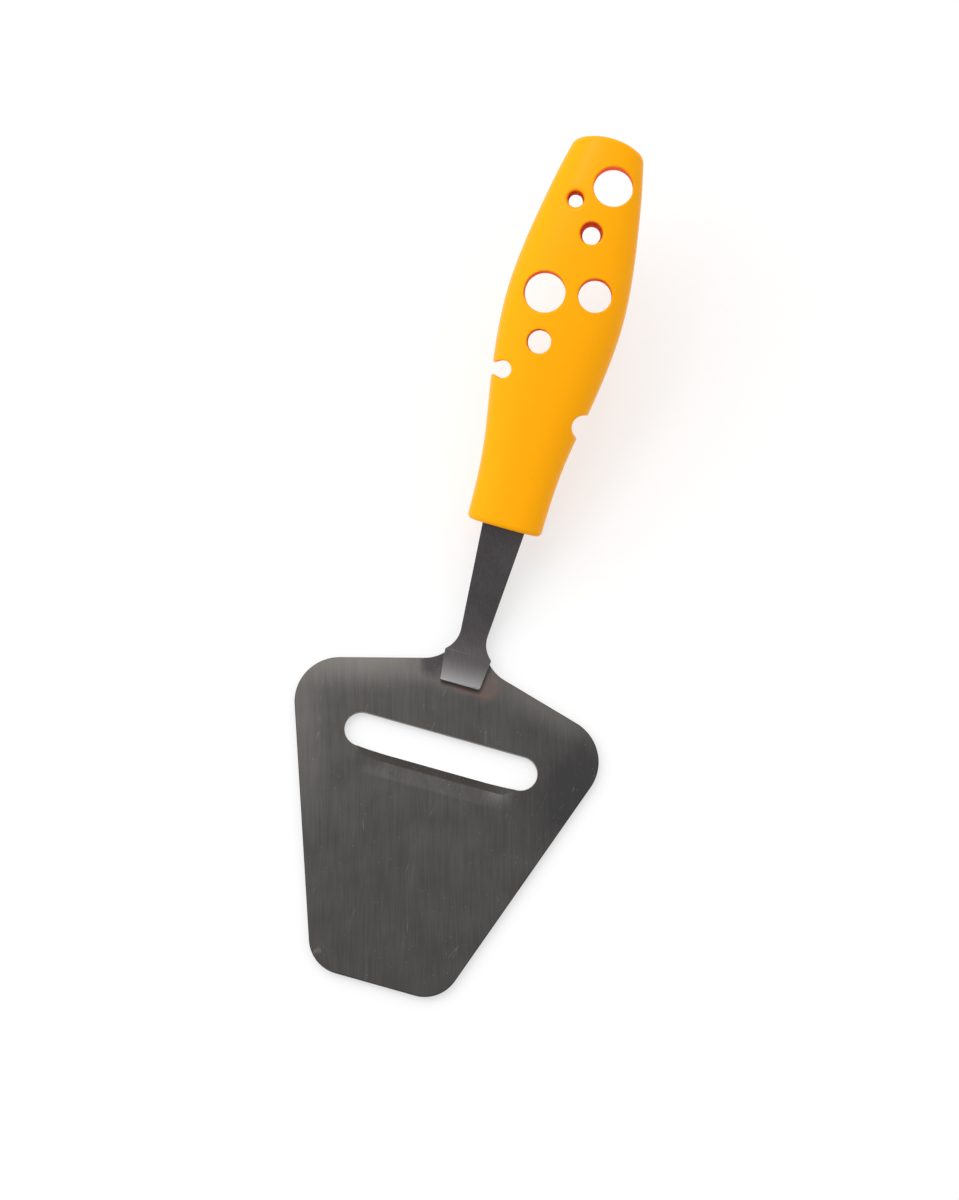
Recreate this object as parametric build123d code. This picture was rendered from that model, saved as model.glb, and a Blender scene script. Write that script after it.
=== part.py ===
from build123d import *
import os
from math import copysign, cos, radians, sin, tan

# Cheese slicer: a slotted stainless blade, spot-welded to a flat steel shank whose tang is moulded
# into a one-piece plastic handle with round holes and edge notches.
#
# Millimetres, +Z up. The origin is on the blade's flat sole, halfway along the blade on its centre line.
# The handle lies towards +Y, the tip towards -Y. Lengths along the tool are measured from the rear line,
# where the blade's sloping rear edges, drawn on straight, are as far apart as the shank's flare is wide.

# Blade plate, a flat sheet seen from above; its rear edges curve up into the tongue from the root's width
blade_length = 91.8
blade_width = 86.2
sheet_thickness = 1.3
rear_edge_fall = 15.5
side_taper = 19.6
shoulder_radius = 12.5
tip_corner_radius = 10.0
tongue_width = 11.8
tongue_length = 2.4
tongue_root_width = 23.2
plate_edge_radius = 0.25

# Slot that the slice comes up through, with full-round ends
slot_length = 54.8
slot_height = 9.5
slot_setback = 20.7

# Cutting lip, pressed down from the sheet in front of the slot and ground to an edge
lip_reach = 7.0
lip_drop = 1.2
bevel_length = 2.4
edge_land = 0.15

# Shank, a bent flat strip
shank_thickness = 2.0
tab_length = 6.4
tab_end_width = 11.2
tab_corner_radius = 0.5
flare_width = 13.2
flare_corner_radius = 0.6
neck_width = 7.7
neck_distance = 9.0
root_width = 12.0
root_distance = 39.4
bend_angle = 18.0
bend_radius = 40.0

# Tang inside the handle
tang_end_width = 8.0
tang_end_wall = 6.0
anchor_hole_diameter = 4.5
anchor_hole_share = 0.67
socket_clearance = 0.05

# Spot welds between the tab and the blade
nugget_diameter = 3.2
nugget_depth = 0.6
nugget_spacing = 5.4
nugget_setback = 2.6

# Handle, an oval moulding that swells to its belly
handle_length = 110.2
belly_width = 33.3
belly_thickness = 19.0
oval_fullness = 2.35
oval_point_count = 16
butt_radius = 20.5
butt_rim_radius = 1.8
end_rim_radius = 1.3
hole_rim_radius = 0.45
small_hole_rim_radius = 1.0

# Round holes through the handle; the two smallest narrow towards the underside
hanging_hole_diameter = 11.0
small_hole_top_diameter = 4.7
small_hole_under_diameter = 3.9
middle_hole_top_diameter = 6.5
middle_hole_under_diameter = 5.1
left_hole_diameter = 11.5
right_hole_diameter = 9.4
lower_hole_diameter = 6.8

# Round notches in the handle's edges; the left one's throat meets the handle's sloping side squarely
left_notch_diameter = 4.9
left_notch_throat = 3.2
left_notch_turn = 8.0
left_notch_rim_radius = 0.6
throat_corner_radius = 0.8
right_notch_diameter = 6.9

# Length by which a cutting solid passes the solid that it cuts
overrun = 5.0

# How near an edge lies to the cutter to count as the cut's rim, and where along the edge that is measured
rim_tolerance = 0.01
rim_sample_shares = (0.1, 0.5, 0.9)

# Each row holds a place along the handle, the half width there and the half thickness there,
# as shares of the handle's length, half the belly's width and half the belly's thickness. The last row
# is past the butt, which is cut round.
oval_shares = (
    (0.000, 0.634, 0.780),
    (0.055, 0.640, 0.776),
    (0.110, 0.652, 0.776),
    (0.217, 0.721, 0.820),
    (0.326, 0.844, 0.900),
    (0.435, 0.946, 0.965),
    (0.562, 1.000, 1.000),
    (0.688, 0.943, 0.950),
    (0.797, 0.835, 0.865),
    (0.897, 0.712, 0.765),
    (1.030, 0.500, 0.617),
)

# Each pair holds a hole's place across and along the handle, as shares of half the belly's width
# and of the handle's length.
hanging_hole_shares = (0.238, 0.8856)
small_hole_shares = (-0.302, 0.8322)
middle_hole_shares = (0.097, 0.761)
left_hole_shares = (-0.383, 0.592)
right_hole_shares = (0.427, 0.6155)
lower_hole_shares = (-0.255, 0.4705)
left_notch_shares = (-0.717, 0.3805)
right_notch_shares = (0.841, 0.2935)

# Each pair holds a place across the lip and how far it is pressed down there, as shares of the lip's
# half length and of its full drop.
lip_shares = ((1.00, 0.00), (0.92, 0.10), (0.80, 0.50), (0.68, 0.90), (0.60, 1.00))

rear_line = blade_length / 2
slot_rear = rear_line - slot_setback
slot_front = slot_rear - slot_height
lip_fold = slot_front - lip_reach
lip_half_length = (slot_length - slot_height) / 2
strip_middle = sheet_thickness + shank_thickness / 2
bend_start = tongue_length
bend_end = bend_start + bend_radius * radians(bend_angle)
lower_hole_edge = lower_hole_shares[1] * handle_length - lower_hole_diameter / 2
tang_length = lower_hole_edge - tang_end_wall
anchor_hole_distance = tang_length * anchor_hole_share


def strip_point(distance):
    """Point on the shank's centre line, at a distance along it from the rear line."""
    if distance <= bend_start:
        return Vector(0, rear_line + distance, strip_middle)
    turned = min((distance - bend_start) / bend_radius, radians(bend_angle))
    straight = max(distance - bend_end, 0)
    forward = bend_radius * sin(turned) + straight * cos(turned)
    rise = bend_radius * (1 - cos(turned)) + straight * sin(turned)
    return Vector(0, rear_line + bend_start + forward, strip_middle + rise)


def mirrored(points):
    """The outline's right-hand points, followed by their mirror images back to the start."""
    return points + [(-x, y) for x, y in reversed(points)]


def plate_outline():
    """Plan of the blade: tongue, sloping rear edges, round shoulders, tapered sides and rounded tip."""
    fall = radians(rear_edge_fall)
    taper = radians(side_taper)
    centre_x = blade_width / 2 - shoulder_radius
    centre_y = rear_line - (centre_x - flare_width / 2) * tan(fall) - shoulder_radius / cos(fall)
    rear_normal = Vector(sin(fall), cos(fall))
    side_normal = Vector(cos(taper), -sin(taper))
    to_corner = (rear_normal + side_normal) * (shoulder_radius / (1 + rear_normal.dot(side_normal)))
    shoulder = Vector(centre_x, centre_y) + to_corner
    tip_half_width = shoulder.X - (shoulder.Y + blade_length / 2) * tan(taper)
    tongue_end = Vector(tongue_width / 2, rear_line + tongue_length)
    root = Vector(tongue_root_width / 2, rear_line - (tongue_root_width - flare_width) / 2 * tan(fall))
    right = [
        (tongue_end.X, tongue_end.Y),
        (root.X, root.Y),
        (shoulder.X, shoulder.Y),
        (tip_half_width, -blade_length / 2),
    ]
    radii = [0, 0, shoulder_radius, tip_corner_radius]
    plan = make_face(FilletPolyline(mirrored(right), radius=radii + radii[::-1], close=True))
    chord = tongue_end - root
    curve_radius = chord.dot(chord) / (2 * chord.dot(rear_normal))
    curve_centre = root + rear_normal * curve_radius
    curve = Pos(curve_centre.X, curve_centre.Y) * Circle(curve_radius)
    return plan - curve - mirror(curve, Plane.YZ)


def lip_section(place_share, drop_share):
    """Cross-section of the cutting lip: flat underside, narrow land at the edge, ground bevel on top."""
    drop = lip_drop * drop_share
    bevel_drop = drop * (1 - bevel_length / lip_reach)
    corners = (
        (lip_fold, 0),
        (slot_front, -drop),
        (slot_front, edge_land - drop),
        (slot_front - bevel_length, sheet_thickness - bevel_drop),
        (lip_fold, sheet_thickness),
    )
    across = Plane(origin=(lip_half_length * place_share, 0, 0), x_dir=(0, 1, 0), z_dir=(1, 0, 0))
    return across * make_face(Polyline(corners, close=True))


def blade_plate():
    """Sheet with the slot, and with the cutting lip pressed down in front of it."""
    sheet = extrude(plate_outline(), sheet_thickness)
    top_rim = sheet.faces().sort_by(Axis.Z)[-1].outer_wire().edges()
    sheet = fillet(top_rim, plate_edge_radius)
    slot_middle = (slot_rear + slot_front) / 2
    slot = Pos(0, slot_middle, 0) * extrude(SlotOverall(slot_length, slot_height), sheet_thickness)
    window_middle = (slot_middle + lip_fold) / 2
    window = Pos(0, window_middle, 0) * extrude(
        Rectangle(2 * lip_half_length, slot_middle - lip_fold), sheet_thickness
    )
    places = [(-place, drop) for place, drop in lip_shares]
    places += [(place, drop) for place, drop in reversed(lip_shares)]
    lip = loft([lip_section(place, drop) for place, drop in places], ruled=True)
    return sheet - slot - window + lip - weld_nuggets()


def shank_outline():
    """Plan of the bent strip: tab, flare, waisted neck, wider root, and the tang to past its end."""
    tab_end = (tab_end_width / 2, rear_line - tab_length)
    flare = (flare_width / 2, rear_line + tongue_length)
    neck = (neck_width / 2, strip_point(neck_distance).Y)
    root = (root_width / 2, strip_point(root_distance).Y)
    end = (tang_end_width / 2, strip_point(root_distance + tang_length).Y)
    past_end = (tang_end_width / 2, end[1] + overrun)
    right = Polyline(tab_end, flare)
    right += TangentArc(neck, flare, tangent=Vector(*neck) - Vector(*root))
    right += Polyline(neck, root, end, past_end)
    outline = right + mirror(right, Plane.YZ)
    outline += Line((-past_end[0], past_end[1]), past_end)
    outline += Line((-tab_end[0], tab_end[1]), tab_end)
    face = make_face(outline)
    face = fillet(face.vertices().sort_by(Axis.Y)[2:4], flare_corner_radius)
    return fillet(face.vertices().sort_by(Axis.Y)[0:2], tab_corner_radius)


def handle_plane():
    """Plane of the handle: its origin at the handle's lower end, Y along the handle, Z out of its top."""
    up = Vector(0, -sin(radians(bend_angle)), cos(radians(bend_angle)))
    return Plane(origin=strip_point(root_distance), x_dir=(1, 0, 0), z_dir=up)


def shank():
    """Strip bent upwards behind the tab, cut to its outline, with the anchor hole in its tang."""
    start = strip_point(-tab_length)
    bend_from = strip_point(bend_start)
    bend_to = strip_point(bend_end)
    end = strip_point(root_distance + tang_length)
    path = Line(start, bend_from) + TangentArc(bend_from, bend_to, tangent=(0, 1, 0)) + Line(bend_to, end)
    section = Plane(origin=start, x_dir=(1, 0, 0), z_dir=(0, 1, 0)) * Rectangle(blade_width, shank_thickness)
    strip = sweep(section, path=path)
    blank = Pos(0, 0, -overrun) * extrude(shank_outline(), end.Z + 2 * overrun)
    anchor_hole = Pos(0, anchor_hole_distance, 0) * Cylinder(anchor_hole_diameter / 2, 2 * shank_thickness)
    return (strip & blank) - handle_plane() * anchor_hole - weld_nuggets()


def weld_nuggets():
    """Two round spot welds, each half in the blade and half in the tab."""
    nugget = Cylinder(nugget_diameter / 2, 2 * nugget_depth)
    row = Pos(0, rear_line - nugget_setback, sheet_thickness) * GridLocations(nugget_spacing, 0, 2, 1)
    return Compound(children=[place * nugget for place in row])


def oval_section(along, half_width, half_thickness):
    """Rounded oval across the handle, a little fuller than an ellipse."""
    points = []
    for step in range(oval_point_count):
        turn = radians(360 * step / oval_point_count)
        across = copysign(abs(cos(turn)) ** (2 / oval_fullness), cos(turn))
        height = copysign(abs(sin(turn)) ** (2 / oval_fullness), sin(turn))
        points.append((half_width * across, half_thickness * height))
    plane = Plane(origin=(0, along, 0), x_dir=(1, 0, 0), z_dir=(0, -1, 0))
    return plane * make_face(Spline(points, periodic=True))


def place_on_handle(shares):
    """Place in the handle's middle plane, from shares of half the belly's width and of the length."""
    across, along = shares
    return Pos(across * belly_width / 2, along * handle_length)


def narrowing_hole(place_shares, top_diameter, under_diameter):
    """Cutter of a round hole that narrows from the handle's top to its underside."""
    return place_on_handle(place_shares) * Cone(under_diameter / 2, top_diameter / 2, belly_thickness)


def straight_hole(place_shares, diameter):
    """Cutter of a round hole with straight walls."""
    return place_on_handle(place_shares) * Cylinder(diameter / 2, belly_thickness)


def throated_notch():
    """Cutter of the left notch: a round hole that opens to the edge through a narrower throat."""
    throat = Rectangle(belly_width, left_notch_throat, align=(Align.MAX, Align.CENTER))
    plan = Circle(left_notch_diameter / 2) + throat
    plan = fillet(plan.vertices().sort_by(Axis.X)[-2:], throat_corner_radius)
    plan = Rot(0, 0, left_notch_turn) * plan
    return place_on_handle(left_notch_shares) * extrude(plan, belly_thickness / 2, both=True)


def rim_edges(solid, cutter):
    """The curved edges that a cutter leaves on the outside of a solid."""
    found = []
    for edge in solid.edges():
        samples = [Vertex(edge @ share) for share in rim_sample_shares]
        touches = max(cutter.distance_to(sample) for sample in samples) < rim_tolerance
        if touches and edge.geom_type != GeomType.LINE:
            found.append(edge)
    return found


def handle_blank():
    """Oval moulding with its butt rounded in plan and both end rims softened."""
    ovals = [
        oval_section(along * handle_length, across * belly_width / 2, thick * belly_thickness / 2)
        for along, across, thick in oval_shares
    ]
    butt_centre = handle_length - butt_radius
    plan = Pos(0, butt_centre) * Circle(butt_radius)
    plan += Pos(0, butt_centre) * Rectangle(
        2 * belly_width, butt_centre + overrun, align=(Align.CENTER, Align.MAX)
    )
    blank = loft(ovals) & extrude(plan, belly_thickness, both=True)
    ends = blank.faces().sort_by(Axis.Y)
    blank = fillet(ends[0].edges(), end_rim_radius)
    return fillet(blank.faces().sort_by(Axis.Y)[-1].edges(), butt_rim_radius)


def tang_socket():
    """Space in the handle for the tang, leaving a post through the tang's anchor hole."""
    root = (root_width / 2 + socket_clearance, -overrun)
    mouth = (root_width / 2 + socket_clearance, 0)
    end = (tang_end_width / 2 + socket_clearance, tang_length + socket_clearance)
    plan = make_face(Polyline(mirrored([root, mouth, end]), close=True))
    socket = extrude(plan, shank_thickness / 2 + socket_clearance, both=True)
    post = Cylinder(anchor_hole_diameter / 2 - socket_clearance, 2 * shank_thickness)
    return socket - Pos(0, anchor_hole_distance, 0) * post


def handle():
    """The moulding with its round holes, edge notches and the socket that holds the tang."""
    middle_hole = narrowing_hole(middle_hole_shares, middle_hole_top_diameter, middle_hole_under_diameter)
    small_hole = narrowing_hole(small_hole_shares, small_hole_top_diameter, small_hole_under_diameter)
    cuts = [
        (straight_hole(hanging_hole_shares, hanging_hole_diameter), hole_rim_radius),
        (straight_hole(left_hole_shares, left_hole_diameter), hole_rim_radius),
        (straight_hole(right_hole_shares, right_hole_diameter), hole_rim_radius),
        (straight_hole(lower_hole_shares, lower_hole_diameter), hole_rim_radius),
        (middle_hole, hole_rim_radius),
        (small_hole, small_hole_rim_radius),
        (straight_hole(right_notch_shares, right_notch_diameter), hole_rim_radius),
        (throated_notch(), left_notch_rim_radius),
    ]
    moulding = handle_blank()
    for cutter, rim_radius in cuts:
        moulding = moulding - cutter
        moulding = fillet(rim_edges(moulding, cutter), rim_radius)
    return handle_plane() * (moulding - tang_socket())


os.makedirs("parts", exist_ok=True)
export_step(blade_plate(), "parts/blade_plate.step")
export_step(shank(), "parts/shank.step")
export_step(weld_nuggets(), "parts/weld_nuggets.step")
export_step(handle(), "parts/handle.step")
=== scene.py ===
from math import copysign, cos, pi, radians, sin, tan

import bmesh
import bpy
import numpy as np
from mathutils import Matrix, Vector
from mathutils.geometry import tessellate_polygon


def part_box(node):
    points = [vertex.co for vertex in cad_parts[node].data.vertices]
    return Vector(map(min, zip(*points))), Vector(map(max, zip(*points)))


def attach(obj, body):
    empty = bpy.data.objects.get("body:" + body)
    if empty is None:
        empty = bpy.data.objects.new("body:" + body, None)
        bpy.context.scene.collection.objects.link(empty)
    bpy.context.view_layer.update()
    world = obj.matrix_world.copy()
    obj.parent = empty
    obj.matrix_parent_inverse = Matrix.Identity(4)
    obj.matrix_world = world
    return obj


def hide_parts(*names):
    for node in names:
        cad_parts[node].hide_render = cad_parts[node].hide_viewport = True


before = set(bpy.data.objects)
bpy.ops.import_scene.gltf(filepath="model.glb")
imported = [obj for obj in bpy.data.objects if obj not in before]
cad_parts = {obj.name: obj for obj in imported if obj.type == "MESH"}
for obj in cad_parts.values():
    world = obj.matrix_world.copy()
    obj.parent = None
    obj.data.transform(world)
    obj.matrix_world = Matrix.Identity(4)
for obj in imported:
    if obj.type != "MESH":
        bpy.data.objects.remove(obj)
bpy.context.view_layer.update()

# Blade plate: one stainless sheet, blanked to a kite shape with round shoulders and slotted for the slice.
# The strip in front of the slot is pressed down and ground to the cutting edge. The sheet is brushed
# lengthwise, its outer rim is tumbled slightly round, and welding has tinted it beside the shank's tab.
# Its colour also holds painted light: patches of painted sheen and shade, a painted shadow beside the tab,
# painted dark reflections along its outer rim and painted highlights along the slot's rim and on grains.
blade_low, blade_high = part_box("blade_plate")
sheet_thickness = blade_high.z
blade_half_width = blade_high.x
tip_line = blade_low.y
tongue_length = 0.0024
rear_line = blade_high.y - tongue_length
tongue_half_width = 0.0059
tongue_root_half_width = 0.0116
flare_half_width = 0.0066
rear_edge_fall = radians(15.5)
side_taper = radians(19.6)
shoulder_radius = 0.0125
tip_corner_radius = 0.010
outer_rim_radius = 0.00025
sole_rim_radius = 0.0001
slot_half_length = 0.0274
slot_height = 0.0095
slot_rim_radius = 0.00014
slot_rear = rear_line - 0.0207
slot_front = slot_rear - slot_height
lip_reach = 0.007
lip_drop = -blade_low.z
lip_flat_share = 0.6
lip_fold = slot_front - lip_reach
lip_half_length = slot_half_length - slot_height / 2
fold_share = 0.15
bevel_length = 0.0024
bevel_run_out = 0.004
edge_land = 0.00015
arc_step = radians(4)
crease_angle = radians(20)
lip_columns = 80
lip_rows = 9
rim_steps = 4
merge_distance = 1e-7


def mix(start, end, share):
    """Value that lies a share of the way from start to end."""
    return start + (end - start) * share


def rounded_outline(corners, radii):
    """Closed outline with rounded corners: its points, and at each the direction out of the shape."""
    points, outwards = [], []
    for index, radius in enumerate(radii):
        before, corner, after = (Vector(corners[(index + k) % len(corners)]) for k in (-1, 0, 1))
        way_in = (corner - before).normalized()
        way_out = (after - corner).normalized()
        if radius == 0:
            points.append(corner)
            outwards.append(Vector((-way_in.y - way_out.y, way_in.x + way_out.x)).normalized())
            continue
        side = 1 if way_in.cross(way_out) > 0 else -1
        turn = way_in.angle(way_out)
        to_centre = Vector((-way_in.y, way_in.x)) * side
        centre = corner - way_in * radius * tan(turn / 2) + to_centre * radius
        steps = max(2, round(turn / arc_step))
        for step in range(steps + 1):
            spoke = Matrix.Rotation(side * turn * step / steps, 2) @ -to_centre
            points.append(centre + spoke * radius)
            outwards.append(spoke * -side)
    return points, outwards


def arc_between(start, finish, to_centre):
    """Points of the arc from start to finish whose centre lies from finish in the given direction."""
    chord = start - finish
    centre = finish + to_centre * chord.length_squared / (2 * chord.dot(to_centre))
    first, last = start - centre, finish - centre
    turn = copysign(first.angle(last), first.cross(last))
    steps = round(abs(turn) / arc_step)
    return [centre + Matrix.Rotation(turn * step / steps, 2) @ first for step in range(steps + 1)]


def rear_height(across):
    """Place along the blade of its sloping rear edge."""
    return rear_line - (across - flare_half_width) * tan(rear_edge_fall)


def blade_outline():
    """Plan of the blade, clockwise: tongue, sloping rear edge, shoulder, tapered side and tip."""
    rear_normal = Vector((sin(rear_edge_fall), cos(rear_edge_fall)))
    side_normal = Vector((cos(side_taper), -sin(side_taper)))
    centre_x = blade_half_width - shoulder_radius
    centre = Vector((centre_x, rear_height(centre_x) - shoulder_radius / cos(rear_edge_fall)))
    shoulder = centre + (rear_normal + side_normal) * shoulder_radius / (1 + rear_normal.dot(side_normal))
    tongue_end = Vector((tongue_half_width, rear_line + tongue_length))
    root = Vector((tongue_root_half_width, rear_height(tongue_root_half_width)))
    curve = arc_between(tongue_end, root, rear_normal)
    tip = Vector((shoulder.x - (shoulder.y - tip_line) * tan(side_taper), tip_line))
    right = curve + [shoulder, tip]
    radii = [0] * len(curve) + [shoulder_radius, tip_corner_radius]
    left = [Vector((-corner.x, corner.y)) for corner in reversed(right)]
    return rounded_outline(right + left, radii + radii[::-1])


def slot_outline():
    """Open outline of the slot's two round ends and rear edge, with directions into the slot."""
    middle_y = (slot_rear + slot_front) / 2
    steps = round(pi / arc_step)
    points, inwards = [], []
    for side in (-1, 1):
        for step in range(steps + 1):
            turn = pi * step / steps
            spoke = Vector((side * sin(turn), side * cos(turn)))
            points.append(Vector((side * lip_half_length, middle_y)) + spoke * slot_height / 2)
            inwards.append(-spoke)
    return points, inwards


def round_rim(radius, steps=rim_steps):
    """Places down a rounded upper edge, as pairs of the inset from the wall and the drop from the top."""
    turns = [pi / 2 * step / steps for step in range(steps + 1)]
    return [(radius * (1 - sin(turn)), radius * (1 - cos(turn))) for turn in turns]


def add_row(mesh, points, outwards, inset, height):
    """Row of vertices along an outline that is moved inwards, at one height."""
    return [mesh.verts.new((*(point - way * inset), height)) for point, way in zip(points, outwards)]


def join_rows(mesh, first, second, closed=False):
    """Strip of faces between two rows of vertices."""
    count = len(first)
    for index in range(count if closed else count - 1):
        after = (index + 1) % count
        mesh.faces.new((first[index], first[after], second[after], second[index]))


def fill_between(mesh, outer, inner):
    """Flat face between a ring of vertices and a ring inside it."""
    vertices = outer + inner
    rings = [[vertex.co for vertex in outer], [vertex.co for vertex in inner]]
    for corners in tessellate_polygon(rings):
        mesh.faces.new([vertices[index] for index in corners])


def lip_fall(along, across):
    """How far the pressed lip lies below the sheet at a place."""
    press = (1 - abs(across) / lip_half_length) / (1 - lip_flat_share)
    press = min(max(press, 0), 1)
    press = press * press * (3 - 2 * press)
    share = (along - lip_fold) / lip_reach
    bent = share * share / (2 * fold_share) if share < fold_share else share - fold_share / 2
    return lip_drop * press * bent / (1 - fold_share / 2)


def lip_column(mesh, across):
    """Rows of vertices over the top and under the sole of the lip, from its fold to its edge."""
    run = min((lip_half_length - abs(across)) / bevel_run_out, 1)
    ground = sin(run * pi / 2)
    profile = []
    for step, (inset, drop) in enumerate(round_rim(slot_rim_radius)):
        bevel_share = step / rim_steps
        bevel_inset = bevel_length * (1 - bevel_share)
        bevel_drop = (sheet_thickness - edge_land) * bevel_share
        profile.append((mix(inset, bevel_inset, ground), mix(drop, bevel_drop, ground)))
    crease = slot_front - profile[0][0]
    places = [(mix(lip_fold, crease, row / lip_rows), 0) for row in range(lip_rows)]
    places += [(slot_front - inset, drop) for inset, drop in profile]
    top, sole = [], []
    for along, drop in places:
        fall = lip_fall(along, across)
        top.append(mesh.verts.new((across, along, sheet_thickness - drop - fall)))
        sole.append(mesh.verts.new((across, along, -fall)))
    return top, sole


def finish_mesh(mesh, name):
    """Plain mesh with doubles merged, faces outwards, and soft shading except across creases."""
    bmesh.ops.remove_doubles(mesh, verts=mesh.verts, dist=merge_distance)
    bmesh.ops.recalc_face_normals(mesh, faces=mesh.faces)
    for face in mesh.faces:
        face.smooth = True
    for edge in mesh.edges:
        edge.smooth = edge.calc_face_angle(0) < crease_angle
    made = bpy.data.meshes.new(name)
    mesh.to_mesh(made)
    mesh.free()
    return made


def make_blade_mesh():
    """The sheet with its rounded rims, the slot, and the pressed and ground lip, as one closed mesh."""
    mesh = bmesh.new()
    outer_rim = mesh.verts.layers.float.new("outer_rim")
    slot_rim = mesh.verts.layers.float.new("slot_rim")
    points, outwards = blade_outline()
    levels = [(inset, sheet_thickness - drop) for inset, drop in round_rim(outer_rim_radius)]
    levels += [(0, sole_rim_radius), (sole_rim_radius, 0)]
    rings = [add_row(mesh, points, outwards, inset, height) for inset, height in levels]
    for first, second in zip(rings, rings[1:]):
        join_rows(mesh, first, second, closed=True)

    points, inwards = slot_outline()
    levels = [(inset, sheet_thickness - drop) for inset, drop in round_rim(slot_rim_radius)] + [(0, 0)]
    rows = [add_row(mesh, points, inwards, inset, height) for inset, height in levels]
    for first, second in zip(rows, rows[1:]):
        join_rows(mesh, first, second)
    for vertex in [vertex for ring in rings[1:-2] for vertex in ring]:
        vertex[outer_rim] = 1
    for vertex in [vertex for row in rows[1:-1] for vertex in row]:
        vertex[slot_rim] = 1

    places = [lip_half_length * (2 * column / lip_columns - 1) for column in range(lip_columns + 1)]
    columns = [lip_column(mesh, across) for across in places]
    for (left_top, left_sole), (right_top, right_sole) in zip(columns, columns[1:]):
        join_rows(mesh, left_top, right_top)
        join_rows(mesh, left_sole, right_sole)
    join_rows(mesh, [top[-1] for top, sole in columns], [sole[-1] for top, sole in columns])

    (left_top, left_sole), (right_top, right_sole) = columns[0], columns[-1]
    top_ring = rows[0] + right_top[lip_rows - 1:0:-1] + [top[0] for top, sole in reversed(columns)]
    fill_between(mesh, rings[0], top_ring + left_top[1:lip_rows])
    sole_ring = rows[-1] + right_sole[-2:0:-1] + [sole[0] for top, sole in reversed(columns)]
    fill_between(mesh, rings[-1], sole_ring + left_sole[1:-1])
    return finish_mesh(mesh, "blade_sheet")


def add_node(tree, kind, inputs=None, **settings):
    """New node with its settings, and with inputs set to values or joined to other nodes' outputs."""
    made = tree.nodes.new(kind)
    for name, value in settings.items():
        setattr(made, name, value)
    for name, value in (inputs or {}).items():
        if isinstance(value, bpy.types.NodeSocket):
            tree.links.new(value, made.inputs[name])
        else:
            made.inputs[name].default_value = value
    return made


def calculate(tree, operation, *terms, clamp=False):
    """Output of a Math node over the given values and outputs."""
    made = add_node(tree, "ShaderNodeMath", dict(enumerate(terms)), operation=operation, use_clamp=clamp)
    return made.outputs[0]


def new_group(name, sizes, results):
    """Shader group with named inputs that hold sizes or shares, and named outputs."""
    group = bpy.data.node_groups.new(name, "ShaderNodeTree")
    for label, value in sizes.items():
        socket = group.interface.new_socket(label, in_out="INPUT", socket_type="NodeSocketFloat")
        socket.default_value = value
    for label in results:
        group.interface.new_socket(label, in_out="OUTPUT", socket_type="NodeSocketFloat")
    return group, group.nodes.new("NodeGroupInput").outputs, group.nodes.new("NodeGroupOutput")


def use_group(tree, group, sizes):
    """Outputs of a shader group that is placed in a material with its own sizes."""
    return add_node(tree, "ShaderNodeGroup", sizes, node_tree=group).outputs


def make_brushing():
    """Fine lines left by brushing at a lean to the tool, and the cloudy sheen that lies over them."""
    sizes = {"Lean": 0.28, "Line width": 0.0003, "Line length": 0.008, "Cloud size": 0.02}
    group, given, result = new_group("brushing", sizes, ["Lines", "Clouds"])
    place = add_node(group, "ShaderNodeTexCoord").outputs["Object"]
    turned = add_node(
        group, "ShaderNodeVectorRotate", {"Vector": place, "Angle": given["Lean"]},
        rotation_type="Z_AXIS", invert=True,
    )
    stretch = add_node(group, "ShaderNodeCombineXYZ", {
        "X": given["Line width"], "Y": given["Line length"], "Z": given["Line width"],
    })
    along = add_node(group, "ShaderNodeVectorMath", {
        0: turned.outputs[0], 1: stretch.outputs[0],
    }, operation="DIVIDE")
    lines = add_node(group, "ShaderNodeTexNoise", {"Vector": along.outputs[0], "Scale": 1, "Detail": 3})
    cloud_scale = calculate(group, "DIVIDE", 1, given["Cloud size"])
    clouds = add_node(group, "ShaderNodeTexNoise", {"Vector": place, "Scale": cloud_scale, "Detail": 3})
    group.links.new(lines.outputs["Fac"], result.inputs["Lines"])
    group.links.new(clouds.outputs["Fac"], result.inputs["Clouds"])
    return group


glint_radius_share = 0.22
glint_sharpness = 8


def make_glint_specks():
    """Painted glints: sparse bright points, where a grain stands out of the surface and catches the light.
    """
    group, given, result = new_group("glint_specks", {"Spacing": 0.0008, "Share": 0.2}, ["Specks"])
    place = add_node(group, "ShaderNodeTexCoord").outputs["Object"]
    scale = calculate(group, "DIVIDE", 1, given["Spacing"])
    cells = add_node(group, "ShaderNodeTexVoronoi", {"Vector": place, "Scale": scale})
    near = calculate(group, "SUBTRACT", glint_radius_share, cells.outputs["Distance"])
    near = calculate(group, "MULTIPLY", near, glint_sharpness, clamp=True)
    chance = add_node(group, "ShaderNodeSeparateColor", {"Color": cells.outputs["Color"]}).outputs[0]
    chosen = calculate(group, "LESS_THAN", chance, given["Share"])
    group.links.new(calculate(group, "MULTIPLY", near, chosen), result.inputs["Specks"])
    return group


# The two leanings of the scratches, each with how far it is drawn out along them.
scratch_leanings = (
    (radians(24), 0.16),
    (radians(-58), 0.25),
)
break_scale = 260
break_sharpness = 6
break_cut = -3.3


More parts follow.
